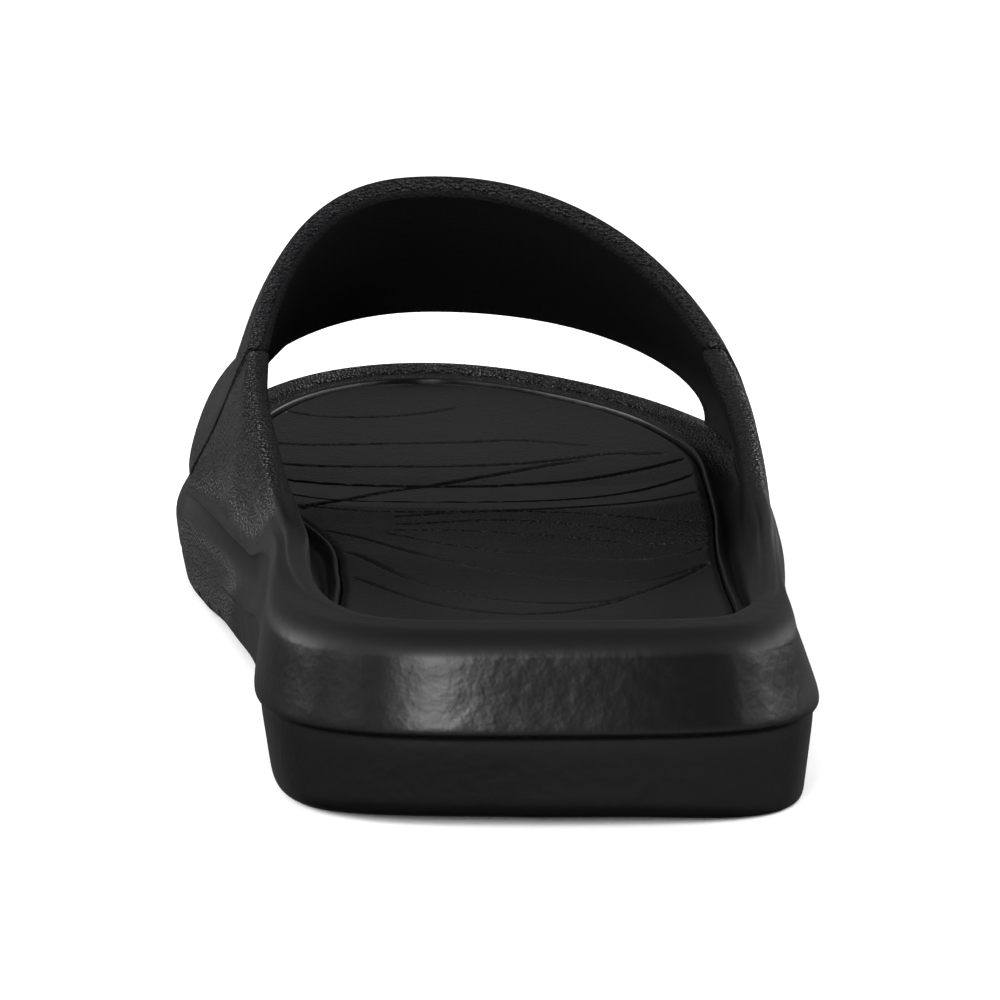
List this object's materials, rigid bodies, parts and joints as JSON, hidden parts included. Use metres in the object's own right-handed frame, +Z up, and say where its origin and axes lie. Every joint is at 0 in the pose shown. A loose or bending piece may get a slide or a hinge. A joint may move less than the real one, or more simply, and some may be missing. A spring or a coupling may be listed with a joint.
{
  "type": "slide sandal",
  "caption": "Open-toe, open-heel slide sandal: contoured moulded sole with side wings, broad arched strap and inset footbed.",
  "frame": {"origin": "on the ground under the middle of the shoe's bounding box", "axes": "+Y along the foot from heel to toes, +Z up, +X to the lateral (little toe) side of a right foot"},
  "size_m": [0.1127, 0.29, 0.0801],
  "materials": {
    "moulded_foam_black": "moulded closed-cell foam, satin skin",
    "strap_foam_black": "moulded closed-cell foam, fine pebble grain",
    "footbed_foam_black": "moulded closed-cell foam, matt"
  },
  "bodies": {
    "root": {"sole": "moulded_foam_black", "strap": "strap_foam_black", "footbed": "footbed_foam_black"}
  },
  "joints": []
}
